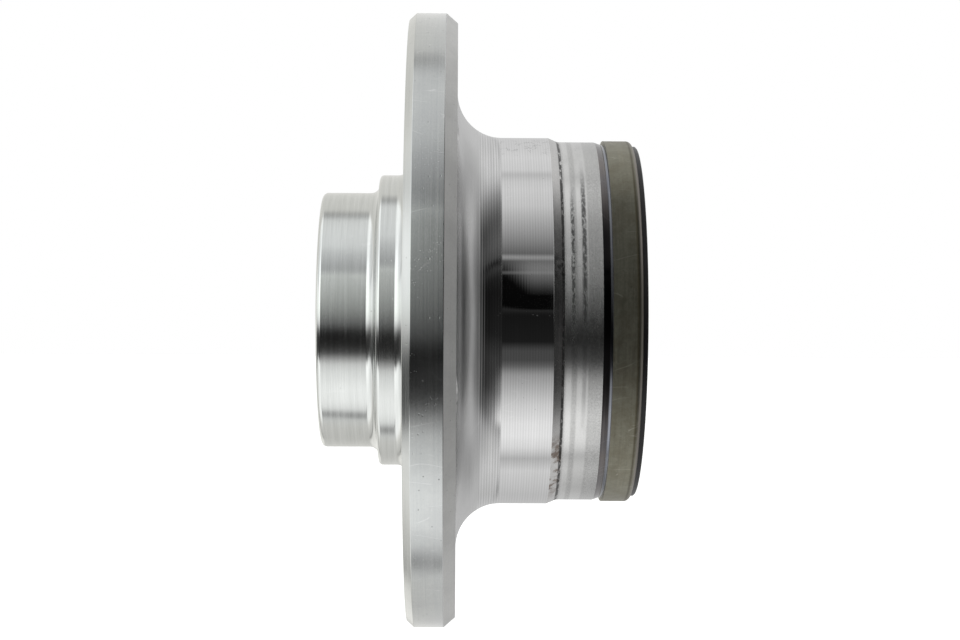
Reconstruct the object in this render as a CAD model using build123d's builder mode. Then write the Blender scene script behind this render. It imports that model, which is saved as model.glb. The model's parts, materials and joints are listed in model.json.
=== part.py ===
from build123d import *
import os
from math import cos, radians, sin

# Rear wheel hub bearing: a double row angular contact ball bearing whose outer ring is the
# wheel flange. All sizes are in millimetres. The wheel turns about Y, with +Y pointing out
# to the wheel and Z up, and the origin is the centre of the flange's wheel face.

# Wheel side of the hub
pilot_diameter = 57.0  # centres the wheel
pilot_height = 19.3  # from the wheel face
pilot_corner = 1.1
pilot_root_fillet = 2.15
disc_pilot_diameter = 65.0  # centres the brake disc
disc_pilot_height = 6.55
disc_pilot_corner = 0.9
disc_pilot_root_fillet = 2.6
flange_edge = 5.4  # steel between a wheel bolt's thread and the rim
flange_thickness = 10.6
front_chamfer_width = 1.45
front_chamfer_depth = 1.6
rear_chamfer_width = 2.2
rear_chamfer_depth = 2.5

# Barrel behind the flange, with the seat of the speed ring at its end
barrel_diameter = 82.0
barrel_fillet = 9.9
barrel_length = 20.2  # from the back of the flange to the ramp
ramp_length = 2.1
land_step = 0.9
land_length = 8.1
seat_step = 0.5
seat_chamfer_length = 1.4
hub_depth = 48.5  # from the wheel face to the inboard end
hub_end_chamfer = 0.8
seal_mouth_chamfer = 0.4

# Wheel bolts and brake disc screw
bolt_circle = 112.0
bolt_count = 5
bolt_thread = 14.0
disc_screw_circle = 108.0
disc_screw_thread = 6.0
bolt_countersink = 0.45  # how far a countersink reaches past its thread
disc_screw_countersink = 0.4

# Dust cap seat in the wheel pilot
pilot_wall = 2.5
cap_seat_depth = 10.8
cap_mouth_chamfer = 0.5

# Ball rows
axle_diameter = 32.0
inner_wall = 4.0  # steel between the axle bore and the ball
ball_diameter = 12.0
ball_count = 12
contact_angle = 36.0
race_conformity = 0.52  # groove radius as a share of the ball's diameter
race_clearance = 0.10  # between ball and groove, along the contact line
outboard_row_depth = 12.4  # from the wheel face
row_spacing = 23.0
inner_shoulder_height = 3.2  # shoulders and lips stand above the bottom of their groove
inner_lip_height = 0.2
outer_shoulder_height = 2.7
outer_lip_height = 0.3

# Inner rings and the clip that holds them together
nut_face_standoff = 2.5  # of the outboard ring, past its seal
axle_face_standoff = 0.6  # of the inboard ring, past the speed ring
inner_bore_chamfer = 1.2
inner_edge_chamfer = 0.8
inner_lip_chamfer = 0.4
clip_setback = 0.25  # below the axle bore
clip_thickness = 0.7
clip_half_width = 3.3
clip_bead_height = 0.65
clip_bead_width = 0.9
clip_clearance = 0.1
clip_gap_angle = 14.0

# Ball cages
cage_clearance = 0.6
pocket_clearance = 0.15
cage_web = 1.9
cage_grip = 2.4  # how far the pockets reach past the balls' centres

# Outboard seal, between the hub and the outboard inner ring
ball_side_gap = 1.2
seal_stop_width = 1.3
seal_stop_height = 0.8
seal_seat_step = 0.5
outboard_seal_section = 4.5  # from the seal's seat in the hub to its land
seal_land_setback = 1.0
outboard_seal_width = 4.5
outboard_edge_height = 1.9  # of the sheet's edge over the land

# Inboard seal: a case that turns with the hub and a flinger on the inboard inner ring
inboard_ball_side_gap = 1.6
inboard_seal_step = 1.2
inboard_case_height = 5.5
inboard_case_setback = 0.4
flinger_sheet = 0.6
flinger_setback = 1.0
flinger_edge_gap = 0.5

# What both seals share
seal_sheet = 0.7
seal_bend = 1.0
lip_clearance = 0.1
lip_thickness = 0.8
lip_tip_width = 0.4
lip_reach = 3.3

# Speed ring: a steel carrier with a magnet ring on its face
carrier_sheet = 0.8
carrier_length = 6.3
carrier_bend = 1.2
carrier_inset = 0.4  # how far its inner edge stands inside the magnet's
magnet_width = 4.8
magnet_thickness = 1.0
magnet_chamfer = 0.2

# Rows and races
axle_radius = axle_diameter / 2
ball_radius = ball_diameter / 2
pitch_radius = axle_radius + inner_wall + ball_radius
race_radius = race_conformity * ball_diameter
race_offset = race_radius - ball_radius - race_clearance
race_offset_radial = race_offset * cos(radians(contact_angle))
race_offset_axial = race_offset * sin(radians(contact_angle))
inner_race_centre = pitch_radius + race_offset_radial
outer_race_centre = pitch_radius - race_offset_radial
inner_race_bottom = inner_race_centre - race_radius
outer_race_bottom = outer_race_centre + race_radius
inner_shoulder = inner_race_bottom + inner_shoulder_height
inner_lip = inner_race_bottom + inner_lip_height
outer_shoulder = outer_race_bottom - outer_shoulder_height
outer_lip = outer_race_bottom - outer_lip_height
outboard_row = -outboard_row_depth
inboard_row = outboard_row - row_spacing
mid_plane = (outboard_row + inboard_row) / 2

# Hub
pilot_radius = pilot_diameter / 2
disc_pilot_radius = disc_pilot_diameter / 2
disc_pilot_step = disc_pilot_radius - pilot_radius
flange_radius = bolt_circle / 2 + bolt_thread / 2 + flange_edge
flange_back = -flange_thickness
barrel_radius = barrel_diameter / 2
land_radius = barrel_radius - land_step
seat_radius = land_radius - seat_step
ramp_start = flange_back - barrel_length
ramp_end = ramp_start - ramp_length
land_end = ramp_end - land_length
seat_start = land_end - seat_chamfer_length
hub_end = -hub_depth
cap_seat_radius = pilot_radius - pilot_wall
cap_seat_bottom = pilot_height - cap_seat_depth

# Outboard seal
race_wall = outboard_row + ball_radius + ball_side_gap
seal_stop = race_wall + seal_stop_width
seal_front = seal_stop + outboard_seal_width
seal_seat_radius = cap_seat_radius - seal_seat_step
seal_stop_radius = seal_seat_radius - seal_stop_height
seal_land = seal_seat_radius - outboard_seal_section
seal_land_start = race_wall - seal_land_setback
outboard_case_edge = seal_land + outboard_edge_height
outboard_lip_tip = seal_land + lip_clearance

# Inboard seal
inboard_seal_bore = outer_lip + inboard_seal_step
inboard_seal_stop = inboard_row - ball_radius - inboard_ball_side_gap
inboard_case_edge = inboard_seal_bore - inboard_case_height
flinger_start = inboard_seal_stop - flinger_setback
flinger_radius = inner_shoulder + flinger_sheet
flinger_edge = inboard_seal_bore - seal_sheet - flinger_edge_gap
inboard_lip_tip = flinger_radius + lip_clearance
axial_lip_tip = hub_end + flinger_sheet + lip_clearance

# Clip
clip_inner_radius = axle_radius + clip_setback
clip_outer_radius = clip_inner_radius + clip_thickness
clip_recess_radius = clip_outer_radius + clip_clearance
clip_groove_radius = clip_recess_radius + clip_bead_height
clip_groove_start = clip_half_width - clip_bead_width - clip_clearance
clip_groove_end = clip_half_width + clip_clearance

# Cages
cage_inner_radius = inner_shoulder + cage_clearance
cage_outer_radius = outer_shoulder - cage_clearance
pocket_radius = ball_radius + pocket_clearance

# Speed ring
carrier_radius = seat_radius + carrier_sheet
carrier_face = hub_end - carrier_sheet
carrier_start = carrier_face + carrier_length
magnet_outer_radius = carrier_radius - carrier_bend
magnet_inner_radius = magnet_outer_radius - magnet_width
magnet_face = carrier_face - magnet_thickness
carrier_inner_radius = magnet_inner_radius - carrier_inset

# Inner rings
nut_face = seal_front + nut_face_standoff
axle_face = magnet_face - axle_face_standoff


# The plane across the axis at height y, facing the wheel, or the axle with facing=-1.
# Its own y points down, so angles on it count from the side towards the bottom.
def across(y, facing=1):
    return Plane(origin=(0, y, 0), x_dir=(facing, 0, 0), z_dir=(0, facing, 0))


# Closes corners, given as radius and height, into a face of the open sketch
def ring_outline(*corners):
    with BuildLine() as outline:
        Polyline(*corners, close=True)
    make_face(outline.edges())


# The corner of the open sketch at this radius and height
def corner(radius, y):
    return vertices().sort_by_distance((radius, y))[0]


os.makedirs("parts", exist_ok=True)

# Hub: wheel pilot, disc pilot, flange, barrel and both outer races in one forging
with BuildPart() as hub_flange:
    with BuildSketch(Plane.XY):
        ring_outline(
            (cap_seat_radius + cap_mouth_chamfer, pilot_height),
            (pilot_radius, pilot_height),
            (pilot_radius, disc_pilot_height),
            (disc_pilot_radius, disc_pilot_height),
            (disc_pilot_radius, 0),
            (flange_radius - front_chamfer_width, 0),
            (flange_radius, -front_chamfer_depth),
            (flange_radius, flange_back + rear_chamfer_depth),
            (flange_radius - rear_chamfer_width, flange_back),
            (barrel_radius, flange_back),
            (barrel_radius, ramp_start),
            (land_radius, ramp_end),
            (land_radius, land_end),
            (seat_radius, seat_start),
            (seat_radius, hub_end),
            (inboard_seal_bore, hub_end),
            (inboard_seal_bore, inboard_seal_stop),
            (outer_lip, inboard_seal_stop),
            (outer_lip, inboard_row),
            (outer_shoulder, inboard_row),
            (outer_shoulder, outboard_row),
            (outer_lip, outboard_row),
            (outer_lip, race_wall),
            (seal_stop_radius, race_wall),
            (seal_stop_radius, seal_stop),
            (seal_seat_radius, seal_stop),
            (seal_seat_radius, cap_seat_bottom),
            (cap_seat_radius, cap_seat_bottom),
            (cap_seat_radius, pilot_height - cap_mouth_chamfer),
        )
        with Locations((outer_race_centre, outboard_row + race_offset_axial)):
            Circle(race_radius, mode=Mode.SUBTRACT)
        with Locations((outer_race_centre, inboard_row - race_offset_axial)):
            Circle(race_radius, mode=Mode.SUBTRACT)
        fillet(corner(pilot_radius, pilot_height), pilot_corner)
        fillet(corner(pilot_radius, disc_pilot_height), min(pilot_root_fillet, 0.6 * disc_pilot_step))
        fillet(
            corner(disc_pilot_radius, disc_pilot_height),
            min(disc_pilot_corner, 0.35 * disc_pilot_step),
        )
        fillet(corner(disc_pilot_radius, 0), disc_pilot_root_fillet)
        fillet(corner(barrel_radius, flange_back), barrel_fillet)
        chamfer(corner(seat_radius, hub_end), hub_end_chamfer)
        chamfer(corner(inboard_seal_bore, hub_end), seal_mouth_chamfer)
    revolve(axis=Axis.Y)
    for flange_side in (across(0), across(flange_back, facing=-1)):
        with Locations(flange_side):
            with PolarLocations(bolt_circle / 2, bolt_count, start_angle=90):
                CounterSinkHole(
                    bolt_thread / 2,
                    bolt_thread / 2 + bolt_countersink,
                    counter_sink_angle=90,
                )
            with PolarLocations(disc_screw_circle / 2, 1, start_angle=-90):
                CounterSinkHole(
                    disc_screw_thread / 2,
                    disc_screw_thread / 2 + disc_screw_countersink,
                    counter_sink_angle=90,
                )
hub_flange.part.label = "hub_flange"
export_step(hub_flange.part, "parts/hub_flange.step")

# Outboard inner ring: its race, the land of the outboard seal and half the clip's groove
with BuildPart() as inner_ring_outboard:
    with BuildSketch(Plane.XY):
        ring_outline(
            (axle_radius + inner_bore_chamfer, nut_face),
            (axle_radius, nut_face - inner_bore_chamfer),
            (axle_radius, mid_plane + clip_groove_end),
            (clip_groove_radius, mid_plane + clip_groove_end),
            (clip_groove_radius, mid_plane + clip_groove_start),
            (clip_recess_radius, mid_plane + clip_groove_start),
            (clip_recess_radius, mid_plane),
            (inner_lip, mid_plane),
            (inner_lip, outboard_row),
            (inner_shoulder, outboard_row),
            (inner_shoulder, seal_land_start),
            (seal_land, seal_land_start),
            (seal_land, nut_face),
        )
        with Locations((inner_race_centre, outboard_row - race_offset_axial)):
            Circle(race_radius, mode=Mode.SUBTRACT)
        chamfer(corner(inner_lip, mid_plane), inner_lip_chamfer)
        chamfer(corner(inner_shoulder, seal_land_start), inner_edge_chamfer)
        chamfer(corner(seal_land, nut_face), inner_edge_chamfer)
    revolve(axis=Axis.Y)
inner_ring_outboard.part.label = "inner_ring_outboard"
export_step(inner_ring_outboard.part, "parts/inner_ring_outboard.step")

# Inboard inner ring: its race, the seat of the flinger and the face that meets the stub axle
with BuildPart() as inner_ring_inboard:
    with BuildSketch(Plane.XY):
        ring_outline(
            (axle_radius + inner_bore_chamfer, axle_face),
            (axle_radius, axle_face + inner_bore_chamfer),
            (axle_radius, mid_plane - clip_groove_end),
            (clip_groove_radius, mid_plane - clip_groove_end),
            (clip_groove_radius, mid_plane - clip_groove_start),
            (clip_recess_radius, mid_plane - clip_groove_start),
            (clip_recess_radius, mid_plane),
            (inner_lip, mid_plane),
            (inner_lip, inboard_row),
            (inner_shoulder, inboard_row),
            (inner_shoulder, axle_face),
        )
        with Locations((inner_race_centre, inboard_row + race_offset_axial)):
            Circle(race_radius, mode=Mode.SUBTRACT)
        chamfer(corner(inner_lip, mid_plane), inner_lip_chamfer)
        chamfer(corner(inner_shoulder, axle_face), inner_edge_chamfer)
    revolve(axis=Axis.Y)
inner_ring_inboard.part.label = "inner_ring_inboard"
export_step(inner_ring_inboard.part, "parts/inner_ring_inboard.step")

# Clip: a split spring band in the bore, with a bead along each edge that hooks into one ring
with BuildPart() as inner_ring_clip:
    with BuildSketch(Plane.XY):
        with Locations((clip_inner_radius, mid_plane)):
            Rectangle(clip_thickness, 2 * clip_half_width, align=(Align.MIN, Align.CENTER))
        for side in (-1, 1):
            bead_middle = mid_plane + side * (clip_half_width - clip_bead_width / 2)
            with Locations((clip_inner_radius, bead_middle)):
                Rectangle(
                    clip_thickness + clip_bead_height,
                    clip_bead_width,
                    align=(Align.MIN, Align.CENTER),
                )
    revolve(axis=Axis.Y, revolution_arc=360 - clip_gap_angle)
inner_ring_clip.part.label = "inner_ring_clip"
export_step(inner_ring_clip.part, "parts/inner_ring_clip.step")


# Adds a crown cage to the open part: a band whose web stands on the inboard side of its row
# with web_side=-1, or the outboard side with 1, and whose snap pockets open the other way
def crown_cage(row, web_side):
    web_face = row + web_side * (pocket_radius + cage_web)
    grip_face = row - web_side * cage_grip
    with BuildSketch(Plane.XY) as band:
        ring_outline(
            (cage_inner_radius, web_face),
            (cage_outer_radius, web_face),
            (cage_outer_radius, grip_face),
            (cage_inner_radius, grip_face),
        )
    revolve(band.sketch, axis=Axis.Y)
    with Locations(across(row)):
        with PolarLocations(pitch_radius, ball_count):
            Sphere(pocket_radius, mode=Mode.SUBTRACT)


# Cages: both turn their webs to the middle of the bearing
with BuildPart() as cage_outboard:
    crown_cage(outboard_row, web_side=-1)
cage_outboard.part.label = "cage_outboard"
export_step(cage_outboard.part, "parts/cage_outboard.step")

with BuildPart() as cage_inboard:
    crown_cage(inboard_row, web_side=1)
cage_inboard.part.label = "cage_inboard"
export_step(cage_inboard.part, "parts/cage_inboard.step")

# Balls: one part each, numbered from +X round the top of the row to the bottom
for row_name, row in (("outboard", outboard_row), ("inboard", inboard_row)):
    for number in range(ball_count):
        with BuildPart() as ball:
            with Locations(across(row)):
                with PolarLocations(pitch_radius, 1, start_angle=-360 / ball_count * number):
                    Sphere(ball_radius)
        ball_name = f"ball_{row_name}_{number + 1:02d}"
        ball.part.label = ball_name
        export_step(ball.part, f"parts/{ball_name}.step")

# Outboard seal case: an angle of sheet steel pressed into the wheel side of the hub
with BuildPart() as outboard_seal_case:
    with BuildSketch(Plane.XY):
        ring_outline(
            (seal_seat_radius, seal_stop),
            (seal_seat_radius, seal_front),
            (outboard_case_edge, seal_front),
            (outboard_case_edge, seal_front - seal_sheet),
            (seal_seat_radius - seal_sheet, seal_front - seal_sheet),
            (seal_seat_radius - seal_sheet, seal_stop),
        )
        fillet(corner(seal_seat_radius, seal_front), seal_bend)
        fillet(corner(seal_seat_radius - seal_sheet, seal_front - seal_sheet), seal_bend - seal_sheet)
    revolve(axis=Axis.Y)
outboard_seal_case.part.label = "outboard_seal_case"
export_step(outboard_seal_case.part, "parts/outboard_seal_case.step")

# Outboard seal lip: rubber bonded round the edge of its case, with a dust lip and a grease lip
with BuildPart() as outboard_seal_lip:
    with BuildSketch(Plane.XY):
        ring_outline(
            (outboard_case_edge, seal_front),
            (outboard_case_edge - lip_thickness, seal_front),
            (outboard_lip_tip, seal_front + lip_tip_width),
            (outboard_lip_tip, seal_front),
            (outboard_case_edge - lip_thickness, seal_front - lip_thickness),
            (outboard_case_edge - lip_thickness, seal_front - 2 * lip_thickness),
            (outboard_lip_tip, seal_front - lip_reach + lip_tip_width),
            (outboard_lip_tip, seal_front - lip_reach),
            (outboard_case_edge, seal_front - lip_reach),
            (outboard_case_edge, seal_front - seal_sheet - lip_thickness),
            (outboard_case_edge + lip_thickness, seal_front - seal_sheet - lip_thickness),
            (outboard_case_edge + lip_thickness, seal_front - seal_sheet),
            (outboard_case_edge, seal_front - seal_sheet),
        )
    revolve(axis=Axis.Y)
outboard_seal_lip.part.label = "outboard_seal_lip"
export_step(outboard_seal_lip.part, "parts/outboard_seal_lip.step")

# Inboard seal case: an angle of sheet steel pressed into the inboard end of the hub
with BuildPart() as inboard_seal_case:
    with BuildSketch(Plane.XY):
        ring_outline(
            (inboard_seal_bore, hub_end + inboard_case_setback),
            (inboard_seal_bore, inboard_seal_stop),
            (inboard_case_edge, inboard_seal_stop),
            (inboard_case_edge, inboard_seal_stop - seal_sheet),
            (inboard_seal_bore - seal_sheet, inboard_seal_stop - seal_sheet),
            (inboard_seal_bore - seal_sheet, hub_end + inboard_case_setback),
        )
        fillet(corner(inboard_seal_bore, inboard_seal_stop), seal_bend)
        fillet(
            corner(inboard_seal_bore - seal_sheet, inboard_seal_stop - seal_sheet),
            seal_bend - seal_sheet,
        )
    revolve(axis=Axis.Y)
inboard_seal_case.part.label = "inboard_seal_case"
export_step(inboard_seal_case.part, "parts/inboard_seal_case.step")

# Inboard seal lip: rubber bonded round the edge of its case, with a grease lip and a dust lip
# that run on the flinger's sleeve and a side lip that runs on the back of its disc
with BuildPart() as inboard_seal_lip:
    with BuildSketch(Plane.XY):
        ring_outline(
            (inboard_case_edge, inboard_seal_stop),
            (inboard_case_edge - lip_thickness, inboard_seal_stop),
            (inboard_lip_tip, flinger_start + lip_tip_width - lip_thickness),
            (inboard_lip_tip, flinger_start - lip_thickness),
            (inboard_case_edge - lip_thickness, inboard_seal_stop - 2 * lip_thickness),
            (inboard_lip_tip, inboard_seal_stop - lip_reach + lip_tip_width),
            (inboard_lip_tip, inboard_seal_stop - lip_reach),
            (inboard_case_edge, inboard_seal_stop - 3 * lip_thickness),
            (inboard_case_edge + lip_thickness, inboard_seal_stop - 3 * lip_thickness),
            (inboard_case_edge + 3 * lip_thickness, axial_lip_tip),
            (inboard_case_edge + 3 * lip_thickness + lip_tip_width, axial_lip_tip),
            (inboard_case_edge + 3 * lip_thickness, inboard_seal_stop - seal_sheet - lip_thickness),
            (inboard_case_edge + 4 * lip_thickness, inboard_seal_stop - seal_sheet),
            (inboard_case_edge, inboard_seal_stop - seal_sheet),
        )
    revolve(axis=Axis.Y)
inboard_seal_lip.part.label = "inboard_seal_lip"
export_step(inboard_seal_lip.part, "parts/inboard_seal_lip.step")

# Inboard seal flinger: a stainless angle pressed on the inboard inner ring, its disc outside
with BuildPart() as inboard_seal_flinger:
    with BuildSketch(Plane.XY):
        ring_outline(
            (inner_shoulder, flinger_start),
            (inner_shoulder, hub_end),
            (flinger_edge, hub_end),
            (flinger_edge, hub_end + flinger_sheet),
            (flinger_radius, hub_end + flinger_sheet),
            (flinger_radius, flinger_start),
        )
        fillet(corner(inner_shoulder, hub_end), seal_bend)
        fillet(corner(flinger_radius, hub_end + flinger_sheet), seal_bend - flinger_sheet)
    revolve(axis=Axis.Y)
inboard_seal_flinger.part.label = "inboard_seal_flinger"
export_step(inboard_seal_flinger.part, "parts/inboard_seal_flinger.step")

# Speed ring carrier: a sheet steel sleeve pressed over the end of the barrel, turned in on it
with BuildPart() as encoder_carrier:
    with BuildSketch(Plane.XY):
        ring_outline(
            (seat_radius, carrier_start),
            (carrier_radius, carrier_start),
            (carrier_radius, carrier_face),
            (carrier_inner_radius, carrier_face),
            (carrier_inner_radius, hub_end),
            (seat_radius, hub_end),
        )
        fillet(corner(carrier_radius, carrier_face), carrier_bend)
        fillet(corner(seat_radius, hub_end), carrier_bend - carrier_sheet)
    revolve(axis=Axis.Y)
encoder_carrier.part.label = "encoder_carrier"
export_step(encoder_carrier.part, "parts/encoder_carrier.step")

# Speed ring magnet: magnetised rubber bonded to the carrier's face
with BuildPart() as encoder_magnet:
    with BuildSketch(Plane.XY):
        ring_outline(
            (magnet_inner_radius, carrier_face),
            (magnet_outer_radius, carrier_face),
            (magnet_outer_radius, magnet_face),
            (magnet_inner_radius, magnet_face),
        )
        chamfer(corner(magnet_outer_radius, magnet_face), magnet_chamfer)
        chamfer(corner(magnet_inner_radius, magnet_face), magnet_chamfer)
    revolve(axis=Axis.Y)
encoder_magnet.part.label = "encoder_magnet"
export_step(encoder_magnet.part, "parts/encoder_magnet.step")
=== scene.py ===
import json
import math

import bpy
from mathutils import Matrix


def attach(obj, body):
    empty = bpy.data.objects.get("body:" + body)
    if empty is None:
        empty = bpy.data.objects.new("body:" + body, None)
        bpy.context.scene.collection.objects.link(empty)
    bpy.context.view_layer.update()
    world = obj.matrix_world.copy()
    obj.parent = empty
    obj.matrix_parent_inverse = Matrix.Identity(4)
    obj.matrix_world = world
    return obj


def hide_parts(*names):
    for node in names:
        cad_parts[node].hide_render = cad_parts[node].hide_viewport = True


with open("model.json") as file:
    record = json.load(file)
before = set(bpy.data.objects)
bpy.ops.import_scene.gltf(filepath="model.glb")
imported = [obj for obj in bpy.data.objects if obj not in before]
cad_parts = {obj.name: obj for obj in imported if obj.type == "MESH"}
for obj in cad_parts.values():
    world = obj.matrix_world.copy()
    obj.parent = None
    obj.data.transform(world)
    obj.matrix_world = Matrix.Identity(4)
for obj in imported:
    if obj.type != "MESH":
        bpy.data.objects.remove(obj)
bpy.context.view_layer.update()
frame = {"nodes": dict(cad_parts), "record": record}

nodes = frame["nodes"]
mounts = {mount["name"]: mount for mount in frame["record"]["mounts"]}
mm = 0.001
wheelSide = "wheel_side"  # the body that turns with the wheel
mergeWithin = 0.0005 * mm  # points closer than this are one point
bumpDistance = 0.1 * mm


def radiusOf(mountName):
    return mounts[mountName]["dims"]["r_mm"] * mm


def deselectAll():
    bpy.ops.object.select_all(action="DESELECT")


def useOnly(piece):
    deselectAll()
    piece.select_set(True)
    bpy.context.view_layer.objects.active = piece


def applyModifier(piece, modifier):
    useOnly(piece)
    bpy.ops.object.modifier_apply(modifier=modifier.name)


# outlines and turned shapes

def roundCorner(before, corner, after, radius, steps):
    # points of the arc that rounds one corner of an outline
    inX, inY = before[0] - corner[0], before[1] - corner[1]
    outX, outY = after[0] - corner[0], after[1] - corner[1]
    inLength, outLength = math.hypot(inX, inY), math.hypot(outX, outY)
    inX, inY, outX, outY = inX / inLength, inY / inLength, outX / outLength, outY / outLength
    halfAngle = math.acos(max(-1, min(1, inX * outX + inY * outY))) / 2
    toTangent = radius / math.tan(halfAngle)
    bisX, bisY = inX + outX, inY + outY
    bisLength = math.hypot(bisX, bisY)
    centreX = corner[0] + bisX / bisLength * radius / math.sin(halfAngle)
    centreY = corner[1] + bisY / bisLength * radius / math.sin(halfAngle)
    start = math.atan2(corner[1] + inY * toTangent - centreY, corner[0] + inX * toTangent - centreX)
    end = math.atan2(corner[1] + outY * toTangent - centreY, corner[0] + outX * toTangent - centreX)
    turn = (end - start + math.pi) % (2 * math.pi) - math.pi
    return [
        (centreX + radius * math.cos(start + turn * i / steps),
         centreY + radius * math.sin(start + turn * i / steps))
        for i in range(steps + 1)
    ]


def turnedOutline(corners):
    # corners are (radius, height), or (radius, height, rounding, steps) where the corner is rounded
    outline = []
    for i, corner in enumerate(corners):
        if len(corner) == 2:
            outline.append(corner)
        else:
            before, after = corners[i - 1], corners[(i + 1) % len(corners)]
            outline += roundCorner(before, corner, after, corner[2], corner[3])
    return outline


def mergeClose():
    bpy.ops.mesh.select_all(action="SELECT")
    bpy.ops.mesh.remove_doubles(threshold=mergeWithin)


def changeMesh(piece, change, **values):
    # one change to all of a piece's mesh
    useOnly(piece)
    bpy.ops.object.mode_set(mode="EDIT")
    bpy.ops.mesh.select_all(action="SELECT")
    change(**values)
    bpy.ops.object.mode_set(mode="OBJECT")


def drawOutline(name, outline):
    # one vertex is extruded from point to point round the outline, until it closes
    deselectAll()
    bpy.ops.mesh.primitive_plane_add(size=1 * mm, location=(outline[0][0], outline[0][1], 0))
    piece = bpy.context.object
    piece.name = name
    bpy.ops.object.mode_set(mode="EDIT")
    bpy.ops.mesh.merge(type="CENTER")
    for start, end in zip(outline, outline[1:] + outline[:1]):
        step = (end[0] - start[0], end[1] - start[1], 0)
        bpy.ops.mesh.extrude_vertices_move(TRANSFORM_OT_translate={"value": step})
    mergeClose()
    bpy.ops.object.mode_set(mode="OBJECT")
    bpy.ops.object.transform_apply(location=True, rotation=True, scale=True)
    return piece


def spinOutline(name, outline, steps):
    # the outline is spun round Y
    piece = drawOutline(name, outline)
    bpy.ops.object.mode_set(mode="EDIT")
    bpy.ops.mesh.select_all(action="SELECT")
    bpy.ops.mesh.spin(steps=steps, angle=2 * math.pi, center=(0, 0, 0), axis=(0, 1, 0))
    mergeClose()
    bpy.ops.mesh.normals_make_consistent(inside=False)
    bpy.ops.object.mode_set(mode="OBJECT")
    return piece


def smoothByAngle(piece, degrees):
    useOnly(piece)
    bpy.ops.object.shade_smooth_by_angle(angle=math.radians(degrees))
    modifier = piece.modifiers.new("evenNormals", "WEIGHTED_NORMAL")
    modifier.keep_sharp = True
    applyModifier(piece, modifier)


# shader helpers

def wire(value, socket):
    # a socket is linked, and a number or colour is set
    if isinstance(value, bpy.types.NodeSocket):
        socket.id_data.links.new(value, socket)
    else:
        socket.default_value = value


def newNode(kind, *values):
    # a node in the tree that the first socket among the values belongs to
    tree = next(value.id_data for value in values if isinstance(value, bpy.types.NodeSocket))
    return tree.nodes.new("ShaderNode" + kind)


def calc(operation, *values):
    node = newNode("Math", *values)
    node.operation = operation
    for value, socket in zip(values, node.inputs):
        wire(value, socket)
    return node.outputs[0]


def times(first, second):
    return calc("MULTIPLY", first, second)


def between(value, low, high, outLow=0.0, outHigh=1.0, smooth=True):
    node = newNode("MapRange", value)
    node.interpolation_type = "SMOOTHSTEP" if smooth else "LINEAR"
    wire(value, node.inputs["Value"])
    for name, amount in (("From Min", low), ("From Max", high), ("To Min", outLow), ("To Max", outHigh)):
        wire(amount, node.inputs[name])
    return node.outputs[0]


def band(value, low, high, soft):
    # 1 from low to high, fading to 0 over soft on each side
    rise = between(value, low - soft, low + soft)
    fall = between(value, high - soft, high + soft, 1.0, 0.0)
    return times(rise, fall)


def peak(value, centre, reach):
    # 1 at the centre, fading to 0 at reach on both sides
    return between(calc("ABSOLUTE", calc("SUBTRACT", value, centre)), 0.0, reach, 1.0, 0.0)


def gained(level, where, gain):
    # the level is multiplied by the gain where the mask is 1
    return times(level, between(where, 0, 1, 1, gain, smooth=False))


def mixValues(factor, first, second):
    node = newNode("Mix", factor, first, second)
    node.data_type = "FLOAT"
    wire(factor, node.inputs[0])
    wire(first, node.inputs[2])
    wire(second, node.inputs[3])
    return node.outputs[0]


def mixColours(factor, first, second, blend="MIX"):
    node = newNode("Mix", factor, first, second)
    node.data_type = "RGBA"
    node.blend_type = blend
    wire(factor, node.inputs[0])
    wire(first, node.inputs[6])
    wire(second, node.inputs[7])
    return node.outputs[2]


def grey(level):
    return (level, level, level, 1)


def levelRamp(value, stops, low, high):
    # stops are (value, level or colour), with value from low to high
    ramp = newNode("ValToRGB", value)
    while len(ramp.color_ramp.elements) < len(stops):
        ramp.color_ramp.elements.new(0.5)
    for element, (place, level) in zip(ramp.color_ramp.elements, stops):
        element.position = (place - low) / (high - low)
        element.color = (*level, 1) if isinstance(level, tuple) else grey(level)
    wire(between(value, low, high, smooth=False), ramp.inputs[0])
    return ramp.outputs[0]


def startGroup(name, result, **inputs):
    # the group, its inputs as seen inside it, and the socket that its result goes to
    group = bpy.data.node_groups.new(name, "ShaderNodeTree")
    for inputName, default in inputs.items():
        socket = group.interface.new_socket(inputName, in_out="INPUT", socket_type="NodeSocketFloat")
        socket.default_value = default
    group.interface.new_socket(result, in_out="OUTPUT", socket_type="NodeSocketFloat")
    return group, group.nodes.new("NodeGroupInput").outputs, group.nodes.new("NodeGroupOutput").inputs[0]


def useGroup(tree, group, **values):
    node = tree.nodes.new("ShaderNodeGroup")
    node.node_tree = group
    for name, value in values.items():
        wire(value, node.inputs[name])
    return node.outputs[0]


def axlePlace(tree):
    # radius from the axle, height along it, and the direction round it, of the shaded point
    coordinates = tree.nodes.new("ShaderNodeTexCoord").outputs["Object"]
    split = tree.nodes.new("ShaderNodeSeparateXYZ")
    tree.links.new(coordinates, split.inputs[0])
    x, y, z = split.outputs
    squares = calc("ADD", times(x, x), times(z, z))
    radius = calc("SQRT", squares)
    return {"point": coordinates, "x": x, "y": y, "z": z, "radius": radius,
            "across": calc("DIVIDE", x, radius), "up": calc("DIVIDE", z, radius)}


def noiseAt(vector, scale, detail=2.0, roughness=0.5, distortion=0.0, extra=None):
    node = newNode("TexNoise", vector)
    node.noise_dimensions = "3D" if extra is None else "4D"
    wire(vector, node.inputs["Vector"])
    if extra is not None:
        wire(extra, node.inputs["W"])
    amounts = {"Scale": scale, "Detail": detail, "Roughness": roughness, "Distortion": distortion}
    for name, amount in amounts.items():
        node.inputs[name].default_value = amount
    return node.outputs[0]


def joinXyz(x, y, z):
    node = newNode("CombineXYZ", x, y, z)
    for value, socket in zip((x, y, z), node.inputs):
        wire(value, socket)
    return node.outputs[0]


# shared effects

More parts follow.
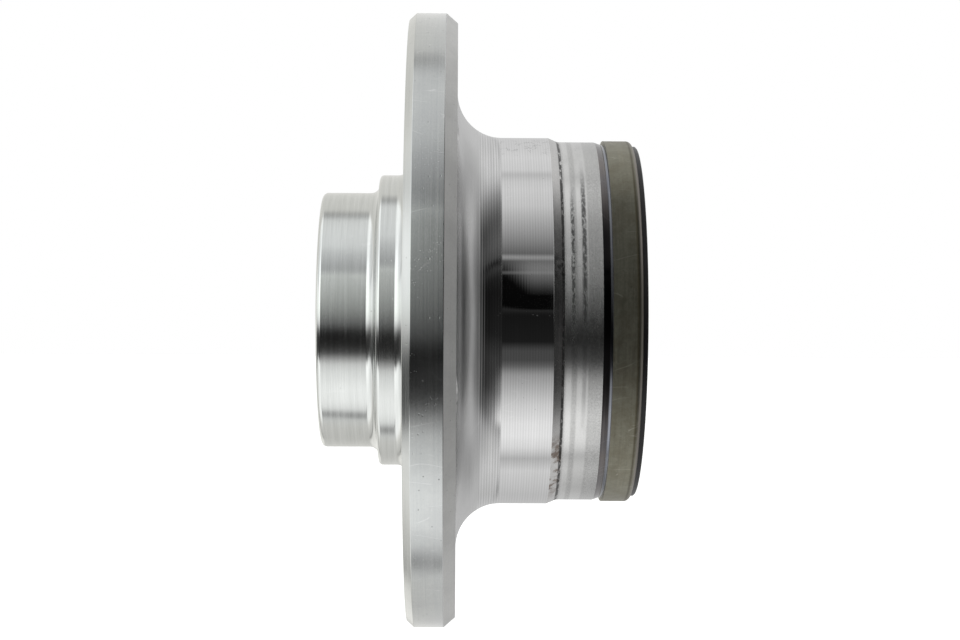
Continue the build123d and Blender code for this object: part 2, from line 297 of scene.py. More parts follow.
def scaled(vector, perMm):
    node = newNode("VectorMath", vector)
    node.operation = "SCALE"
    wire(vector, node.inputs[0])
    wire(times(perMm, 1000.0), node.inputs["Scale"])
    return node.outputs[0]


def buildTurningMarks():
    # rings left by the tool: they follow the turn, and fade in and out along it
    group, given, result = startGroup("turningMarks", "Marks", LinesPerMm=3.0, Fade=1.5)
    place = axlePlace(group)
    lines = times(given["LinesPerMm"], 1000.0)
    across, up = times(place["across"], given["Fade"]), times(place["up"], given["Fade"])
    vector = joinXyz(times(place["radius"], lines), times(place["y"], lines), across)
    marks = noiseAt(vector, 1.0, detail=2.0, extra=up)
    wire(between(marks, 0.33, 0.67, smooth=False), result)
    return group


def buildPits():
    # small dents scattered over the steel; Share is how many of the cells hold one
    group, given, result = startGroup("pits", "Pit", PerMm=1.0, Size=0.2, Share=0.3)
    place = axlePlace(group)
    cells = group.nodes.new("ShaderNodeTexVoronoi")
    cells.voronoi_dimensions = "3D"
    wire(scaled(place["point"], given["PerMm"]), cells.inputs["Vector"])
    cells.inputs["Scale"].default_value = 1.0
    inside = between(cells.outputs["Distance"], given["Size"], 0.0)
    split = group.nodes.new("ShaderNodeSeparateColor")
    wire(cells.outputs["Color"], split.inputs[0])
    chosen = calc("LESS_THAN", split.outputs[0], given["Share"])
    wire(times(inside, chosen), result)
    return group


def buildStains():
    # soft patches, where Cover is how much of the surface they take
    group, given, result = startGroup("stains", "Stain", PerMm=0.1, Cover=0.4, Edge=0.1)
    place = axlePlace(group)
    cloud = noiseAt(scaled(place["point"], given["PerMm"]), 1.0, detail=4.0, roughness=0.6)
    level = calc("SUBTRACT", 0.72, times(given["Cover"], 0.44))
    low = calc("SUBTRACT", level, given["Edge"])
    high = calc("ADD", level, given["Edge"])
    wire(between(cloud, low, high), result)
    return group


def buildScuffs():
    # thin crooked marks, as from rubbing
    group, given, result = startGroup("scuffs", "Scuff", PerMm=0.6, Width=0.02)
    place = axlePlace(group)
    vector = scaled(place["point"], given["PerMm"])
    cloud = noiseAt(vector, 1.0, detail=2.0, roughness=0.55, distortion=1.2)
    thin = peak(cloud, 0.5, given["Width"])
    gaps = between(noiseAt(vector, 0.7, detail=1.0), 0.48, 0.56)
    wire(times(thin, gaps), result)
    return group


def buildScratches():
    # fine straight scratches in two directions, each a few millimetres long
    group, given, result = startGroup("scratches", "Scratch", PerMm=1.0, Width=0.02)
    place = axlePlace(group)
    found = []
    for turn in ((0.3, 0.5, 0.35), (1.1, -0.4, -0.6)):
        mapping = group.nodes.new("ShaderNodeMapping")
        mapping.inputs["Rotation"].default_value = turn
        mapping.inputs["Scale"].default_value = (1.0, 0.12, 0.12)
        wire(scaled(place["point"], given["PerMm"]), mapping.inputs["Vector"])
        cloud = noiseAt(mapping.outputs[0], 1.0, detail=0.0)
        thin = peak(cloud, 0.5, given["Width"])
        gaps = between(noiseAt(mapping.outputs[0], 1.7, detail=0.0), 0.58, 0.64)
        found.append(times(thin, gaps))
    wire(calc("MAXIMUM", found[0], found[1]), result)
    return group


def buildGrain():
    # fine grain of steel that wasn't polished
    group, given, result = startGroup("grain", "Grain", PerMm=4.0)
    place = axlePlace(group)
    cloud = noiseAt(scaled(place["point"], given["PerMm"]), 1.0, detail=2.0, roughness=0.7)
    wire(between(cloud, 0.35, 0.65, smooth=False), result)
    return group


print("scene: shared effects")
turningMarks = buildTurningMarks()
pits = buildPits()
stains = buildStains()
scuffs = buildScuffs()
scratches = buildScratches()
grain = buildGrain()


# finishes

def startMaterial(name, metallic=1.0):
    material = bpy.data.materials.new(name)
    material.use_nodes = True
    shader = material.node_tree.nodes["Principled BSDF"]
    shader.inputs["Metallic"].default_value = metallic
    return material, material.node_tree, shader


def wireShader(shader, colour, gloss, height):
    bump = newNode("Bump", height)
    bump.inputs["Strength"].default_value = 1.0
    bump.inputs["Distance"].default_value = bumpDistance
    wire(height, bump.inputs["Height"])
    for name, value in (("Base Color", colour), ("Roughness", gloss), ("Normal", bump.outputs[0])):
        wire(value, shader.inputs[name])


def inArea(place, area):
    # a band along the axle, which may cover only part of the way round; "side" keeps to the half towards -X
    where = band(place["y"], area["from"] * mm, area["to"] * mm, area["soft"] * mm)
    if "up" in area:
        where = times(where, band(place["up"], *area["up"]))
    if "side" in area:
        where = times(where, between(place["across"], 0.1, -0.1))
    return where


def blotches(place, marks):
    # marks that lie in blotches within their area: dirt and wear, and a painted shade on the gap and seat
    along, wide = marks["along"] / mm, marks["wide"] / mm
    vector = joinXyz(times(place["x"], along), times(place["y"], wide), times(place["z"], along))
    cloud = noiseAt(vector, 1.0, detail=3.0, roughness=0.65)
    covered = between(cloud, marks["least"], marks["most"])
    return times(inArea(place, marks), covered)


def paint(colour, where, strength, over):
    # a plain colour laid over the finish
    return mixColours(times(where, strength), colour, (*over, 1))


def roughen(gloss, where, strength, roughness):
    return mixValues(times(where, strength), gloss, roughness)


def finishSteel(name, look):
    # turned or ground steel: colour and gloss vary with the rings, grain, stains, pits and scratches
    material, tree, shader = startMaterial(name)
    place = axlePlace(tree)
    fine = useGroup(tree, turningMarks, LinesPerMm=look["fineLines"], Fade=2.5)
    coarse = useGroup(tree, turningMarks, LinesPerMm=look["coarseLines"], Fade=1.2)
    rings = mixValues(look["coarseShare"], fine, coarse)
    if look["feedShare"]:
        feed = calc("SINE", times(place["y"], 2 * math.pi / look["feedPitch"]))
        rings = mixValues(look["feedShare"], rings, between(feed, -1, 1, smooth=False))
    grains = useGroup(tree, grain, PerMm=look["grainPerMm"])
    stain = useGroup(tree, stains, PerMm=look["stainPerMm"], Cover=look["stainCover"], Edge=0.14)
    pit = useGroup(tree, pits, PerMm=look["pitsPerMm"], Size=look["pitSize"], Share=look["pitShare"])
    scratch = useGroup(tree, scratches, PerMm=look["scratchesPerMm"], Width=0.012)
    # specks on the rim: rough pits, made lighter in colour as a painted glint
    speck = useGroup(tree, pits, PerMm=3.1, Size=0.33, Share=0.3)
    speckArea = useGroup(tree, stains, PerMm=0.11, Cover=look["speckCover"], Edge=0.05)
    speck = times(speck, speckArea)

    shade = mixValues(look["grainShare"], rings, grains)
    colour = mixColours(shade, (*look["dark"], 1), (*look["light"], 1))
    colour = paint(colour, stain, look["stainDepth"], look["stained"])
    colour = paint(colour, pit, look["pitShade"], look["pitted"])
    colour = paint(colour, speck, look["speckShade"], look["speckled"])
    colour = paint(colour, scratch, look["scratchDepth"], look["scratched"])
    gloss = between(shade, 0, 1, *look["roughness"])
    gloss = calc("ADD", gloss, times(stain, look["stainRoughness"]))
    gloss = roughen(gloss, speck, *look["speckRoughness"])
    for marks in look["marks"]:
        where = blotches(place, marks)
        colour = paint(colour, where, marks["strength"], marks["colour"])
        gloss = roughen(gloss, where, marks["strength"], marks["roughness"])
    if look["scuffed"]:
        scuff = useGroup(tree, scuffs, PerMm=look["scuffed"]["perMm"], Width=0.03)
        colour = paint(colour, scuff, inArea(place, look["scuffed"]), look["scuffed"]["colour"])
    dents = times(pit, look["pitDepth"])
    height = calc("SUBTRACT", times(rings, look["ringHeight"]), dents)
    height = calc("ADD", height, times(grains, look["grainHeight"]))
    wireShader(shader, colour, gloss, height)
    return material


steelLook = {
    "fineLines": 5.0, "coarseLines": 1.3, "coarseShare": 0.5, "ringHeight": 0.01,
    "feedShare": 0.0, "feedPitch": 0.57 * mm,
    "grainPerMm": 4.0, "grainShare": 0.1, "grainHeight": 0.0,
    "stainPerMm": 0.12, "stainCover": 0.4, "stainDepth": 0.12, "stainRoughness": 0.03,
    "pitsPerMm": 0.9, "pitSize": 0.16, "pitShare": 0.1, "pitDepth": 0.2, "pitShade": 0.4,
    "speckCover": 0.0, "speckShade": 0.7, "speckRoughness": (0.8, 0.65),  # strength, roughness
    "scratchesPerMm": 0.6, "scratchDepth": 0.15,
    "dark": (0.6, 0.61, 0.6), "light": (0.7, 0.71, 0.7), "roughness": (0.15, 0.22),
    "stained": (0.52, 0.52, 0.5), "pitted": (0.1, 0.1, 0.1),
    "speckled": (0.86, 0.86, 0.86), "scratched": (0.8, 0.8, 0.8),
    "marks": (), "scuffed": None,
}
rootLine = {
    "from": -32.95, "to": -32.35, "soft": 0.14, "along": 0.7, "wide": 1.6, "least": 0.34, "most": 0.5,
    "strength": 0.85, "colour": (0.03, 0.03, 0.03), "roughness": 0.5,
}
# painted shade: the gap and seat are darker in blotches from a little below the axle to above it
paintedSeatShade = {
    "from": -49.0, "to": -41.0, "soft": 0.1, "up": (-0.3, 0.5, 0.3), "along": 0.1, "wide": 0.1,
    "least": 0.0, "most": 0.2, "strength": 0.75, "colour": (0.03, 0.03, 0.033), "roughness": 0.1,
}
brightBand = {
    "soft": 0.25, "along": 0.08, "wide": 0.2, "least": 0.1, "most": 0.5, "strength": 0.75,
    "colour": (0.76, 0.76, 0.75), "roughness": 0.12,
}
looks = {
    "pilotSteel": {
        "dark": (0.585, 0.595, 0.585), "light": (0.71, 0.72, 0.71), "roughness": (0.1, 0.15),
        "ringHeight": 0.007, "stainDepth": 0.08, "pitShare": 0.04,
    },
    "brightSteel": {"dark": (0.61, 0.62, 0.61), "light": (0.69, 0.70, 0.69)},
    "rimSteel": {
        "fineLines": 8.0, "coarseLines": 2.2, "grainShare": 0.3, "grainPerMm": 2.4,
        "dark": (0.50, 0.515, 0.515), "light": (0.6, 0.61, 0.6), "roughness": (0.12, 0.16),
        "pitShare": 0.3, "pitsPerMm": 0.8, "pitDepth": 0.35, "pitShade": 0.6, "stainDepth": 0.25,
        "stained": (0.46, 0.465, 0.475), "speckCover": 0.36, "scratchDepth": 0.35,
    },
    "backSteel": {
        "fineLines": 4.0, "coarseLines": 1.2, "grainShare": 0.5, "grainPerMm": 2.0,
        "dark": (0.72, 0.72, 0.71), "light": (0.83, 0.83, 0.81), "roughness": (0.45, 0.53),
        "pitShare": 0.35, "stainDepth": 0.25, "stained": (0.6, 0.6, 0.59),
    },
    "filletSteel": {
        "fineLines": 3.0, "coarseLines": 1.0, "dark": (0.6, 0.6, 0.6), "light": (0.67, 0.67, 0.67),
        "roughness": (0.2, 0.25), "ringHeight": 0.004, "pitShare": 0.12,
    },
    "feedSteel": {
        "fineLines": 4.0, "coarseLines": 1.75, "feedShare": 0.6,
        "dark": (0.48, 0.48, 0.48), "light": (0.78, 0.78, 0.78),
        "roughness": (0.08, 0.12), "ringHeight": 0.002, "pitShare": 0.05,
    },
    "barrelSteel": {
        "fineLines": 4.0, "coarseLines": 1.75, "feedShare": 0.6,
        "dark": (0.59, 0.59, 0.59), "light": (0.71, 0.71, 0.71),
        "roughness": (0.012, 0.03), "stainRoughness": 0.004, "ringHeight": 0.0,
        "pitShare": 0.06, "pitDepth": 0.04, "stainDepth": 0.05,
        "scuffed": {"from": -30.5, "to": -18.5, "soft": 1.2, "up": (0.88, 0.975, 0.03), "side": True,
                    "perMm": 0.55, "colour": (0.2, 0.2, 0.2)},
    },
    "rampSteel": {
        "fineLines": 4.0, "coarseLines": 1.5, "grainShare": 0.4, "grainPerMm": 1.6,
        "dark": (0.52, 0.52, 0.515), "light": (0.66, 0.65, 0.64), "roughness": (0.17, 0.24),
        "marks": (
            {"from": -33.2, "to": -30.6, "soft": 0.2, "up": (-0.92, -0.62, 0.06), "side": True,
             "along": 0.5, "wide": 0.5, "least": 0.42, "most": 0.62, "strength": 0.85,
             "colour": (0.17, 0.12, 0.09), "roughness": 0.4},
            {"from": -33.2, "to": -30.6, "soft": 0.2, "up": (0.2, 0.34, 0.03), "side": True,
             "along": 0.6, "wide": 0.6, "least": 0.36, "most": 0.55, "strength": 0.8,
             "colour": (0.08, 0.08, 0.08), "roughness": 0.4},
            rootLine,
        ),
    },
    "landSteel": {
        "fineLines": 4.0, "coarseLines": 0.8, "grainShare": 0.7, "grainPerMm": 2.6, "grainHeight": 0.012,
        "dark": (0.46, 0.46, 0.455), "light": (0.62, 0.62, 0.61), "roughness": (0.14, 0.2),
        "pitShare": 0.3, "pitsPerMm": 2.2, "pitSize": 0.3, "pitDepth": 0.06, "pitShade": 0.25,
        "marks": (
            {**brightBand, "from": -37.9, "to": -35.6},
            {**brightBand, "from": -34.5, "to": -33.3},
            {"from": -35.1, "to": -34.35, "soft": 0.2, "up": (-0.12, 0.62, 0.12), "along": 1.1, "wide": 2.2,
             "least": 0.36, "most": 0.56, "strength": 0.85, "colour": (0.05, 0.05, 0.05), "roughness": 0.35},
            {"from": -37.55, "to": -36.7, "soft": 0.22, "up": (-0.1, 0.72, 0.12), "along": 0.9, "wide": 2.0,
             "least": 0.34, "most": 0.54, "strength": 0.88, "colour": (0.04, 0.04, 0.04), "roughness": 0.35},
            {"from": -37.55, "to": -36.7, "soft": 0.3, "up": (-0.5, 0.8, 0.12), "along": 0.12, "wide": 0.2,
             "least": 0.2, "most": 0.5, "strength": 0.4, "colour": (0.2, 0.2, 0.2), "roughness": 0.25},
            rootLine,
        ),
    },
    "gapSteel": {
        "fineLines": 5.0, "coarseLines": 2.0, "dark": (0.1, 0.095, 0.1), "light": (0.19, 0.18, 0.18),
        "roughness": (0.1, 0.16), "ringHeight": 0.003, "stained": (0.22, 0.18, 0.15), "stainDepth": 0.3,
        "marks": (paintedSeatShade,),
    },
    "seatSteel": {
        "fineLines": 6.0, "coarseLines": 3.0, "dark": (0.1, 0.105, 0.12), "light": (0.44, 0.46, 0.52),
        "roughness": (0.05, 0.09), "ringHeight": 0.004,
        "marks": (paintedSeatShade,),
    },
}

print("scene: finishes")
finishes = {name: finishSteel(name, {**steelLook, **look}) for name, look in looks.items()}


carrierLook = {
    "metallic": 0.8, "roughness": (0.36, 0.46), "grainHeight": 0.02, "pitDepth": 0.3,
    "dark": (0.24, 0.233, 0.178), "light": (0.34, 0.326, 0.254),
    "stainDepth": 0.35, "stained": (0.17, 0.145, 0.095),
    "pitShade": 0.5, "pitted": (0.08, 0.072, 0.056),
    "scratchDepth": 0.5, "scratched": (0.55, 0.53, 0.45),
    "rust": {"from": -48.35, "to": -47.95, "soft": 0.25}, "rustShade": 0.7, "rusted": (0.055, 0.045, 0.022),
    # the bend's lighter colour is a painted highlight
    "bend": {"from": -49.2, "to": -48.65, "soft": 0.2}, "bendHighlightDepth": 0.75, "bendHighlight": (0.36, 0.33, 0.3),
    # how much of its brightness the sheet keeps, from its lowest side (-1) to its highest: partly tarnish,
    # partly painted shade that darkens it beside the axle
    "tarnishAndShade": (
        (-1, 1.0), (-0.75, 0.87), (-0.6, 0.69), (-0.45, 0.56), (-0.2, 0.5), (0, 0.4), (0.1, 0.31),
        (0.35, 0.3), (0.55, 0.38), (0.62, 0.38), (0.67, 0.51), (0.78, 0.73), (0.9, 0.9), (1, 0.95),
    ),
}


def finishCarrier(look):
    # olive passivated sheet, with painted shade by height and a painted highlight along its bend
    material, tree, shader = startMaterial("oliveSteel", look["metallic"])
    place = axlePlace(tree)
    streaks = useGroup(tree, turningMarks, LinesPerMm=3.0, Fade=3.0)
    stain = useGroup(tree, stains, PerMm=0.3, Cover=0.45, Edge=0.12)
    grains = useGroup(tree, grain, PerMm=1.8)
    pit = useGroup(tree, pits, PerMm=1.1, Size=0.2, Share=0.25)
    scratch = useGroup(tree, scratches, PerMm=0.7, Width=0.016)
    shade = mixValues(0.5, streaks, grains)
    colour = mixColours(shade, (*look["dark"], 1), (*look["light"], 1))
    colour = paint(colour, stain, look["stainDepth"], look["stained"])
    colour = paint(colour, pit, look["pitShade"], look["pitted"])
    colour = paint(colour, scratch, look["scratchDepth"], look["scratched"])
    # painted shade with the tarnish: the sheet is darker beside the axle and lighter above and below it
    colour = mixColours(1.0, colour, levelRamp(place["up"], look["tarnishAndShade"], -1, 1), "MULTIPLY")
    colour = paint(colour, inArea(place, look["rust"]), look["rustShade"], look["rusted"])
    # painted highlight along the bend, weaker beside the axle than above and below it
    highlightByHeight = between(calc("ABSOLUTE", place["up"]), 0.0, 0.45, 0.45, 1.0)
    bendHighlight = times(inArea(place, look["bend"]), highlightByHeight)
    colour = paint(colour, bendHighlight, look["bendHighlightDepth"], look["bendHighlight"])
    dents = times(pit, look["pitDepth"])
    height = calc("SUBTRACT", times(grains, look["grainHeight"]), dents)
    wireShader(shader, colour, between(shade, 0, 1, *look["roughness"]), height)
    return material


sealLook = {
    "dark": (0.018, 0.018, 0.018), "light": (0.0288, 0.0288, 0.0288), "roughness": (0.45, 0.53),
    "specular": 0.5, "grainPerMm": 3.0, "grainHeight": 0.02, "stainPerMm": 0.3, "stainShare": 0.5,
}
mouldedLooks = {
    "sealRubber": sealLook,
    "magnetRubber": {
        **sealLook, "dark": (0.005, 0.0042, 0.0052), "light": (0.008, 0.00672, 0.00832),
        "roughness": (0.3, 0.38), "specular": 0.35,
    },
    "cagePolyamide": {
        **sealLook, "dark": (0.035, 0.033, 0.03), "light": (0.055, 0.052, 0.046), "roughness": (0.38, 0.48),
        "grainPerMm": 5.0, "grainHeight": 0.015, "stainPerMm": 0.2, "stainShare": 0.4,
    },
}


def finishMoulded(name, look):
    # moulded rubber or plastic, a little uneven in colour and gloss
    material, tree, shader = startMaterial(name, 0.0)
    shader.inputs["Specular IOR Level"].default_value = look["specular"]
    grains = useGroup(tree, grain, PerMm=look["grainPerMm"])
    stain = useGroup(tree, stains, PerMm=look["stainPerMm"], Cover=0.5, Edge=0.2)
    shade = mixValues(look["stainShare"], grains, stain)
    colour = mixColours(shade, (*look["dark"], 1), (*look["light"], 1))
    gloss = between(shade, 0, 1, *look["roughness"])
    wireShader(shader, colour, gloss, times(grains, look["grainHeight"]))
    return material


oliveSteel = finishCarrier(carrierLook)
moulded = {name: finishMoulded(name, look) for name, look in mouldedLooks.items()}


# hub forging

hub = {
    "pilotHeight": 19.3 * mm,
    "pilotCorner": 1.1 * mm,
    "pilotRoot": 2.15 * mm,
    "discPilotHeight": 6.55 * mm,
    "discPilotCorner": 0.9 * mm,
    "discPilotRoot": 2.6 * mm,
    "flangeRadius": 68.4 * mm,
    "flangeThickness": 10.6 * mm,
    "frontChamfer": (1.45 * mm, 1.6 * mm),  # across, and along the axle
    "rearChamfer": (2.2 * mm, 2.5 * mm),
    "rearCorner": 0.2 * mm,
    "barrelRadius": 41.0 * mm,
    "barrelFillet": 9.9 * mm,
    "backRadius": 50.7 * mm,  # the back is rougher from here outwards
    "insideRadius": 38.5 * mm,  # what lies nearer the axle is inside the hub
    "groovesEnd": -30.7 * mm,
    "rampStart": -30.8 * mm,
    "rampEnd": -32.9 * mm,
    "rampCorner": 0.5 * mm,
    "landRadius": 40.1 * mm,
    "landEnd": -41.0 * mm,
    "landCorner": 0.25 * mm,
    "seatRadius": 39.6 * mm,
    "seatStart": -42.4 * mm,
    "seatCorner": 0.8 * mm,
    "seatChamfer": 0.8 * mm,
    "hubEnd": -48.5 * mm,
    "edge": 0.26 * mm,  # rounding of the flange's turned edges
    # inside, from the axle side to the wheel side
    "inboardSealRadius": 33.03 * mm,
    "inboardSealChamfer": 0.4 * mm,
    "inboardSealEnd": -43.0 * mm,
    "raceMouth": 31.83 * mm,
    "inboardRace": (-39.4 * mm, -31.4 * mm),
    "ribRadius": 29.43 * mm,  # between the two races
    "outboardRace": (-16.4 * mm, -8.4 * mm),
    "shoulderStart": -5.2 * mm,
    "shoulderEnd": -3.9 * mm,
    "shoulderRadius": 24.7 * mm,
    "outboardSealRadius": 25.5 * mm,
    "capSeatStart": 8.5 * mm,
    "capChamfer": 0.5 * mm,
    "capCorner": 0.15 * mm,
    # marks of the tool on the barrel and its fillet
    "groovePitch": 0.57 * mm,
    "grooveDepth": 0.0003 * mm,
    "filletGrooveDepth": 0.02 * mm,
    "filletGrooveFade": math.radians(8),  # over this much of the fillet they fade to none at the barrel
    "marksSpan": math.radians(32),  # how much of the fillet has feed marks
    "crease": math.radians(3),  # the fillet stops this much short of the barrel's direction
    "filletStep": math.radians(2),
    "steps": 288,
    "smoothAngle": 32,
}
hub["flangeBack"] = -hub["flangeThickness"]
hub["barrelStart"] = hub["flangeBack"] - hub["barrelFillet"]
hub["marksStart"] = hub["barrelStart"] + hub["barrelFillet"] * math.sin(hub["marksSpan"])
hub["filletEnd"] = hub["barrelStart"] + hub["barrelFillet"] * math.sin(hub["crease"])
scallop = ((0.0, 0.0), (0.25, 0.75), (0.5, 1.0), (0.75, 0.75))  # share of the pitch, share of the depth
plain = ((0.0, 0.0),)
near = 0.05 * mm  # how close to an edge still counts as on it


def barrelGrooves():
    # one shallow scallop for each turn of the feed
    pitch = hub["groovePitch"]
    points = []
    y = hub["filletEnd"]
    while y - pitch > hub["groovesEnd"]:
        for part, depth in scallop:
            points.append((hub["barrelRadius"] - depth * hub["grooveDepth"], y - part * pitch))
        y -= pitch
    return points


def filletGrooves():
    # the barrel's fillet: smooth by the flange, with feed marks towards the barrel
    radius = hub["barrelFillet"]
    centre = (hub["barrelRadius"] + radius, hub["barrelStart"])
    marksStart = math.radians(90) - hub["marksSpan"]
    filletEnd = math.radians(90) - hub["crease"]
    points = []
    angle = 0.0
    while angle < filletEnd - 1e-6:
        inMarks = angle >= marksStart
        if inMarks:
            end = min(angle + hub["groovePitch"] / radius, filletEnd)
        else:
            end = min(angle + hub["filletStep"], marksStart)
        grooveDepth = hub["filletGrooveDepth"] * min((filletEnd - end) / hub["filletGrooveFade"], 1)
        for part, depth in scallop if inMarks else plain:
            at = angle + part * (end - angle)
            reach = radius + depth * grooveDepth
            points.append((centre[0] - reach * math.sin(at), centre[1] + reach * math.cos(at)))
        angle = end
    points.append((centre[0] - radius * math.sin(filletEnd), hub["filletEnd"]))
    return points


def buildHub():
    edge, rim, back = hub["edge"], hub["flangeRadius"], hub["flangeBack"]
    barrel, land, seat, end = hub["barrelRadius"], hub["landRadius"], hub["seatRadius"], hub["hubEnd"]
    seal, sealChamfer, seatChamfer = hub["inboardSealRadius"], hub["inboardSealChamfer"], hub["seatChamfer"]
    shoulder, outboardSeal = hub["shoulderRadius"], hub["outboardSealRadius"]
    pilot, discPilot, capSeat = radiusOf("wheel_pilot"), radiusOf("disc_pilot"), radiusOf("dust_cap_seat")
    front = [
        (capSeat + hub["capChamfer"], hub["pilotHeight"], hub["capCorner"], 3),
        (pilot, hub["pilotHeight"], hub["pilotCorner"], 10),
        (pilot, hub["discPilotHeight"], hub["pilotRoot"], 14),
        (discPilot, hub["discPilotHeight"], hub["discPilotCorner"], 10),
        (discPilot, 0, hub["discPilotRoot"], 14),
        (rim - hub["frontChamfer"][0], 0, edge, 3),
        (rim, -hub["frontChamfer"][1], edge, 3),
        (rim, back + hub["rearChamfer"][1], edge, 3),
        (rim - hub["rearChamfer"][0], back, hub["rearCorner"], 4),
        (barrel, back),  # only gives the last corner its direction
    ]
    rear = [
        (barrel, hub["barrelStart"]),  # only gives the next corner its direction
        (barrel, hub["rampStart"], hub["rampCorner"], 5),
        (land, hub["rampEnd"], hub["rampCorner"], 5),
        (land, hub["landEnd"], hub["landCorner"], 4),
        (seat, hub["seatStart"], hub["seatCorner"], 4),
        (seat, end + seatChamfer),
        (seat - seatChamfer, end),
        (seal + sealChamfer, end),
        (seal, end + sealChamfer),
        (seal, hub["inboardSealEnd"]),
        (hub["raceMouth"], hub["inboardSealEnd"]),
        (hub["raceMouth"], hub["inboardRace"][0]),
        (hub["ribRadius"], hub["inboardRace"][1]),
        (hub["ribRadius"], hub["outboardRace"][0]),
        (hub["raceMouth"], hub["outboardRace"][1]),
        (hub["raceMouth"], hub["shoulderStart"]),
        (shoulder, hub["shoulderStart"]),
        (shoulder, hub["shoulderEnd"]),
        (outboardSeal, hub["shoulderEnd"]),
        (outboardSeal, hub["capSeatStart"]),
        (capSeat, hub["capSeatStart"]),
        (capSeat, hub["pilotHeight"] - hub["capChamfer"]),
    ]
    outline = turnedOutline(front)[:-1] + filletGrooves() + barrelGrooves() + turnedOutline(rear)[1:]
    return spinOutline("hubForging", outline, hub["steps"])


holes = {
    "bolt": {
        "radius": mounts["wheel_bolts"]["dims"]["hole_r_mm"] * mm,
        "countersink": 0.45 * mm,
        "circle": mounts["wheel_bolts"]["dims"]["pcd_mm"] / 2 * mm,
        "count": mounts["wheel_bolts"]["dims"]["count"],
        "startAngle": -90,
        "pitch": 1.5 * mm,
        "threadDepth": 0.81 * mm,
    },
    "screw": {
        "radius": radiusOf("disc_screw"),
        "countersink": 0.4 * mm,
        "circle": mounts["disc_screw"]["pos_m"][2],
        "count": 1,
        "startAngle": 90,
        "pitch": 1.0 * mm,
        "threadDepth": 0.54 * mm,
    },
}

drillShape = {"over": 1.0 * mm, "steps": 64}
threadShape = {
    "foot": 0.46, "crest": 0.08,  # half the width of a ridge, as a share of the pitch
    "sunk": 0.03 * mm,  # how far its foot reaches into the wall
    "steps": 48,
    "smoothAngle": 30,
}


def turnCopy(piece, degrees):
    # a copy with its own mesh, turned about the axle
    useOnly(piece)
    bpy.ops.object.duplicate()
    copy = bpy.context.object
    turn = {"value": math.radians(degrees), "orient_axis": "Y", "center_override": (0, 0, 0)}
    changeMesh(copy, bpy.ops.transform.rotate, **turn)
    return copy


def placeRound(piece, hole):
    # the piece goes to the first hole, and a copy of it to each other one
    start = math.radians(hole["startAngle"])
    step = (hole["circle"] * math.cos(start), 0, hole["circle"] * math.sin(start))
    changeMesh(piece, bpy.ops.transform.translate, value=step)
    return [piece] + [turnCopy(piece, 360 / hole["count"] * i) for i in range(1, hole["count"])]


def drillHub(hubForging):
    # one drill for each hole, with a countersink at both faces
    back, over = hub["flangeBack"], drillShape["over"]
    for kind, hole in holes.items():
        radius, sink = hole["radius"], hole["countersink"]
        wide = radius + sink + over
        drill = spinOutline(kind + "Drill", [
            (0, over), (wide, over), (radius, -sink),
            (radius, back + sink), (wide, back - over), (0, back - over),
        ], drillShape["steps"])
        for one in placeRound(drill, hole):
            cut = hubForging.modifiers.new("drilled", "BOOLEAN")
            cut.operation = "DIFFERENCE"
            cut.solver = "EXACT"
            cut.object = one
            applyModifier(hubForging, cut)
            bpy.data.objects.remove(one)


def cutThreads(kind, hole):
    # the ridges of the thread stand inside the drilled hole
    pitch = hole["pitch"]
    turns = int((hub["flangeThickness"] - 2 * hole["countersink"]) / pitch) - 1
    middle = -hub["flangeThickness"] / 2 - turns * pitch / 2
    outer, inner = hole["radius"] + threadShape["sunk"], hole["radius"] - hole["threadDepth"]
    foot, crest = threadShape["foot"] * pitch, threadShape["crest"] * pitch
    thread = drawOutline(kind + "Thread", [
        (outer, middle - foot), (inner, middle - crest), (inner, middle + crest), (outer, middle + foot),
    ])
    wind = thread.modifiers.new("wind", "SCREW")
    wind.axis = "Y"
    wind.angle = 2 * math.pi
    wind.screw_offset = pitch
    wind.iterations = turns
    wind.steps = wind.render_steps = threadShape["steps"]
    applyModifier(thread, wind)
    bpy.ops.object.mode_set(mode="EDIT")
    mergeClose()
    bpy.ops.mesh.fill_holes(sides=0)
    bpy.ops.mesh.select_all(action="SELECT")
    bpy.ops.mesh.normals_make_consistent(inside=False)
    bpy.ops.object.mode_set(mode="OBJECT")
    threads = placeRound(thread, hole)
    useOnly(thread)
    for one in threads:
        one.select_set(True)
    if len(threads) > 1:
        bpy.ops.object.join()
    smoothByAngle(thread, threadShape["smoothAngle"])
    thread.data.materials.append(finishes["brightSteel"])
    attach(thread, wheelSide)


# the finishes of the outside from the fillet onwards, with where each ends
outsideZones = (
    ("filletSteel", "marksStart"), ("feedSteel", "filletEnd"), ("barrelSteel", "groovesEnd"),
    ("rampSteel", "rampEnd"), ("landSteel", "landEnd"), ("gapSteel", "seatStart"),
)


def hubZone(face):
    # which finish a face of the forging takes, by where it lies
    radius = math.hypot(face.center.x, face.center.z)
    y = face.center.y
    if y > hub["flangeBack"] + hub["rearChamfer"][1] - near:
        if radius > hub["flangeRadius"] - near and y < -hub["frontChamfer"][1]:
            return "rimSteel"
        return "pilotSteel" if y > near else "brightSteel"
    if radius > hub["backRadius"]:
        return "backSteel"
    if radius < hub["insideRadius"]:
        return "brightSteel"
    return next((finish for finish, end in outsideZones if y > hub[end]), "seatSteel")


print("scene: hub forging")
hubForging = buildHub()
drillHub(hubForging)
smoothByAngle(hubForging, hub["smoothAngle"])
for finish in finishes.values():
    hubForging.data.materials.append(finish)
finishOrder = list(finishes)
for face in hubForging.data.polygons:
    face.material_index = finishOrder.index(hubZone(face))
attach(hubForging, wheelSide)
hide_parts("hub_flange")
print("scene: threads")
for kind, hole in holes.items():
    cutThreads(kind, hole)

